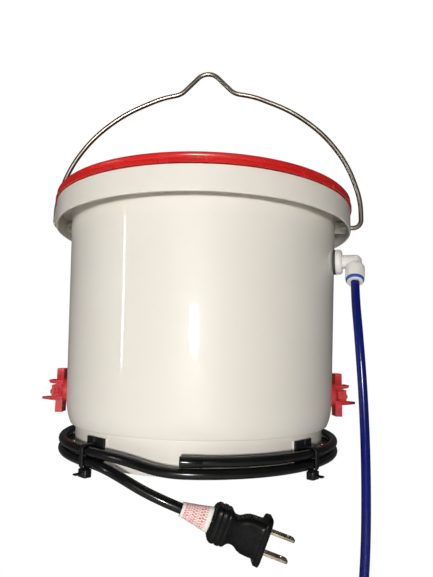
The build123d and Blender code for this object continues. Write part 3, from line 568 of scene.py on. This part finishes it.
def makeLid(values):
    # The band's radius drops by the notch depth within half a notch width of each notch's centre
    pitch = 2 * math.pi / values["notches"]
    half = values["notchWidth"] / 2 / values["bandRadius"]
    fade = values["notchFade"] / values["bandRadius"]
    local = np.concatenate([np.linspace(-pitch / 2, -half - fade, 7), [-half, -half / 3, half / 3, half],
                            np.linspace(half + fade, pitch / 2, 7)[:-1]])
    angles = (np.arange(values["notches"])[:, None] + 0.5) * pitch + local[None, :]
    cut = np.tile(np.abs(local) <= half, values["notches"])
    profile = lidProfile()
    points = turned(profile, angles.ravel())
    band = (profile[:, 0] > values["bandInner"]) & (profile[:, 1] < values["bandTop"])
    shrink = 1 - values["notchDepth"] / profile[:, 0].clip(1)
    scale = np.where(cut[:, None] & band[None, :], shrink[None, :], 1.0)
    points[..., :2] *= scale[..., None]
    data = gridData("lidFine", points, True, False)
    weldMesh(data)
    data.shade_smooth()
    lid = addPiece("lidFine", data, "lidRed", "lid", ("lid",))
    roundEdges(lid, values["edge"], segments=2)


makeLid(lidSet)
print("lid pressed")


refined("bail_wire", "brightWire", edge=0.0, smooth=50)
for node in ("inlet_nut", "inlet_stem", "inlet_backnut", "valve_body"):
    refined(node, "fittingWhite", edge=0.0003)
refined("elbow_body", "fittingWhite", edge=0.0005)
refined("elbow_collet", "fittingWhite", edge=0.0003)
refined("collet_clip", "clipBlue", edge=0.0003)
for side in ("left", "right"):
    refined(f"drinker_{side}_body", "drinkerRed")
    refined(f"drinker_{side}_nut", "drinkerRed", edge=0.0004)
    refined(f"drinker_{side}_pin", "stainless", edge=0.0002)

coupling = refined("coupling_body", "fittingWhite", edge=0.0005)
colletTube = refined("coupling_collet_tube", "fittingWhite", edge=0.0003)
colletOpen = refined("coupling_collet_open", "fittingWhite", edge=0.0003)
coilTie = refined("coil_tie", "tieBlack", edge=0.0002)

for node, finish, slot in (("tie_mounts", "tieBlack", "tie_black"), ("tie_straps", "tieBlack", "tie_black"),
                           ("tie_heads", "tieBlack", "tie_black"), ("tie_mount_pads", "foamWhite", "foam_white")):
    refined(node, finish, edge=0.0003 if finish == "tieBlack" else 0.0)

keptNodes = {
    "lid_gasket": "sealRubber", "inlet_washer_outer": "sealRubber", "inlet_washer_inner": "sealRubber",
    "elbow_oring": "sealRubber", "valve_plunger_seal": "sealRubber", "drinker_left_seal": "sealRubber",
    "drinker_right_seal": "sealRubber", "drinker_left_washer_outer": "sealRubber",
    "drinker_left_washer_inner": "sealRubber", "drinker_right_washer_outer": "sealRubber",
    "drinker_right_washer_inner": "sealRubber", "valve_plunger": "fittingWhite", "float_lever_pin": "stainless",
    "float_arm": "floatPlastic", "float_ball": "floatPlastic",
}
for node, finish in keptNodes.items():
    held = frame["nodes"][node]
    if not held.data.materials:
        held.data.materials.append(materials[finish])
    for slot in held.material_slots:
        slot.material = materials[finish]
print("fittings and drinkers finished")


plugSet = {
    "around": 96,
    "squareness": 5.0,
    "edge": 0.0004,
    # distance along, half width, half thickness
    "stations": [(0, 0, 0), (0, 8.6, 5.6), (0.8, 9.8, 6.5), (2.4, 10.9, 7.2), (4.2, 11.0, 7.4), (4.8, 10.6, 7.0),
                 (5.4, 10.6, 7.0), (6.0, 11.0, 7.4), (7.8, 11.0, 7.4), (8.4, 10.6, 7.0), (9.0, 10.6, 7.0),
                 (9.6, 10.9, 7.2), (10.8, 10.2, 6.8), (12.2, 8.6, 6.2), (13.6, 7.8, 5.95), (15.6, 7.75, 5.9),
                 (17.4, 8.4, 5.9), (19.4, 9.8, 5.95), (22, 10.8, 6.1), (25, 11.0, 6.4), (28.5, 11.0, 6.9),
                 (30.6, 11.2, 7.1), (31.0, 12.4, 7.3), (31.3, 14.2, 7.5), (34.0, 14.5, 7.5), (34.5, 14.2, 7.3),
                 (34.5, 0, 0)],
}


def plugAxes():
    route = np.array(leadSet["route"])
    along = route[-1] - route[-2]
    along = along / np.linalg.norm(along)
    across = np.cross(along, (0, 1, 0))
    across = across / np.linalg.norm(across)
    return route[-1] * mm, across, np.cross(along, across), along


def makePlug(values):
    # Squared-off ovals along the lead's line: |x/w|^n + |y/t|^n = 1 at each station
    origin, across, through, along = plugAxes()
    a = np.linspace(0, 2 * math.pi, values["around"], endpoint=False)[:, None]
    place, width, thick = np.array(values["stations"]).T * mm
    power = 2 / values["squareness"]
    x = width * np.sign(np.cos(a)) * np.abs(np.cos(a)) ** power
    y = thick * np.sign(np.sin(a)) * np.abs(np.sin(a)) ** power
    points = origin + x[..., None] * across + y[..., None] * through + (place + 0 * a)[..., None] * along
    data = gridData("plugFine", points, True, False)
    weldMesh(data)
    data.shade_smooth()
    plug = addPiece("plugFine", data, "plugBlack", "pail", ("plug_body",))
    roundEdges(plug, values["edge"], limit=40)
    return plug


sleeveSet = {
    "length": 18.5,
    "gap": 0.6,
    "narrow": (8.6, 7.6),
    "wide": (16.0, 9.0),
    "thickness": 0.0003,
}


def makeSleeve(values):
    # An oval tube that widens towards the plug, a little creased along its two narrow edges
    origin, across, through, along = plugAxes()
    a = np.linspace(0, 2 * math.pi, 73)[:, None]
    s = np.linspace(0, 1, 25)[None, :]
    narrow = np.array(values["narrow"]) / 2
    wide = np.array(values["wide"]) / 2
    width = narrow[0] + (wide[0] - narrow[0]) * s ** 1.2
    thick = narrow[1] + (wide[1] - narrow[1]) * s
    crease = 1 - 0.02 * np.cos(6 * a) * s
    x = width * crease * np.cos(a)
    y = thick * crease * np.sign(np.sin(a)) * np.abs(np.sin(a)) ** 1.15
    place = -values["gap"] - values["length"] * (1 - s) + 0 * a
    points = origin + mm * (x[..., None] * across + y[..., None] * through + place[..., None] * along)
    uv = np.stack([a / (2 * math.pi) + 0 * s, s + 0 * a], axis=-1)
    data = gridData("labelSleeve", points, False, False, uv)
    weldMesh(data)
    data.shade_smooth()
    sleeve = addPiece("labelSleeve", data, "labelPaper", "pail", ("lead_label",))
    wall = sleeve.modifiers.new("wall", "SOLIDIFY")
    wall.thickness = values["thickness"]
    wall.offset = -1
    return sleeve


plug = makePlug(plugSet)
sleeve = makeSleeve(sleeveSet)
blades = [refined(f"plug_blade_{place}", "bladeMetal", edge=0.0002) for place in ("upper", "lower")]
print("plug moulded")


stageSet = {
    "floorHeight": -0.60,
    "floorRadius": 3.0,
    "world": 0.06,
}
middle = (0, 0, -0.23)
# name, place, target, size, power, colour, height where it is oblong
lights = (
    ("keyLight", (0.0, -1.05, -0.24), middle, 0.09, 6.0, (1, 0.985, 0.95), None),
    ("flashSpot", (0.02, -1.05, -0.285), middle, 0.035, 1.5, (1, 1, 1), None),
    ("overhead", (0.05, -0.1, 1.1), middle, 1.2, 1.0, (1, 1, 1), None),
    ("sideStrip", (-0.95, -0.62, -0.13), (-0.06, -0.09, -0.21), 0.012, 1.2, (1, 1, 1), 0.42),
)


def makeFloor(values):
    # Flat rings out to the edge, which turns down slightly
    radius = np.array([0, 0.3, 0.8, 1.6, 2.6, 3.0]) * values["floorRadius"] / 3
    sink = np.array([0, 0, 0, 0, 0, 0.02])
    a = np.linspace(0, 2 * math.pi, 96, endpoint=False)[:, None]
    points = np.stack([radius * np.cos(a), radius * np.sin(a), values["floorHeight"] - sink + 0 * a], axis=-1)
    data = gridData("floor", points, True, False)
    floorPiece = bpy.data.objects.new("floor", data)
    bpy.context.scene.collection.objects.link(floorPiece)
    material = bpy.data.materials.new("floorPale")
    material.use_nodes = True
    tree = material.node_tree
    shader = tree.nodes["Principled BSDF"]
    shader.inputs["Base Color"].default_value = (0.9, 0.9, 0.89, 1)
    shader.inputs["Roughness"].default_value = 0.9
    glow = addNode(tree, "ShaderNodeEmission", {"Color": (1, 1, 1, 1), "Strength": 1.0})
    path = addNode(tree, "ShaderNodeLightPath")
    mix = addNode(tree, "ShaderNodeMixShader", {0: path.outputs["Is Camera Ray"], 1: shader.outputs[0],
                                                2: glow.outputs[0]})
    tree.links.new(mix.outputs[0], tree.nodes["Material Output"].inputs["Surface"])
    data.materials.append(material)


def areaLight(name, place, target, size, power, color, height):
    data = bpy.data.lights.new(name, "AREA")
    data.energy = power
    data.color = color
    data.size = size
    if height:
        data.shape = "RECTANGLE"
        data.size_y = height
    lamp = bpy.data.objects.new(name, data)
    direction = Vector(target) - Vector(place)
    lamp.rotation_euler = direction.to_track_quat("-Z", "Y").to_euler()
    lamp.location = place
    bpy.context.scene.collection.objects.link(lamp)


def makeLights(values):
    world = bpy.data.worlds.new("studio")
    bpy.context.scene.world = world
    world.use_nodes = True
    tree = world.node_tree
    tree.nodes.clear()
    output = addNode(tree, "ShaderNodeOutputWorld")
    seen = addNode(tree, "ShaderNodeBackground", {"Color": (1, 1, 1, 1), "Strength": 1.0})
    lit = addNode(tree, "ShaderNodeBackground", {"Color": (1, 0.99, 0.97, 1), "Strength": values["world"]})
    path = addNode(tree, "ShaderNodeLightPath")
    mix = addNode(tree, "ShaderNodeMixShader", {0: path.outputs["Is Camera Ray"], 1: lit.outputs[0],
                                                2: seen.outputs[0]})
    tree.links.new(mix.outputs[0], output.inputs["Surface"])
    for light in lights:
        areaLight(*light)


makeFloor(stageSet)
makeLights(stageSet)
bpy.context.scene.view_settings.view_transform = "Standard"
print("stage set")
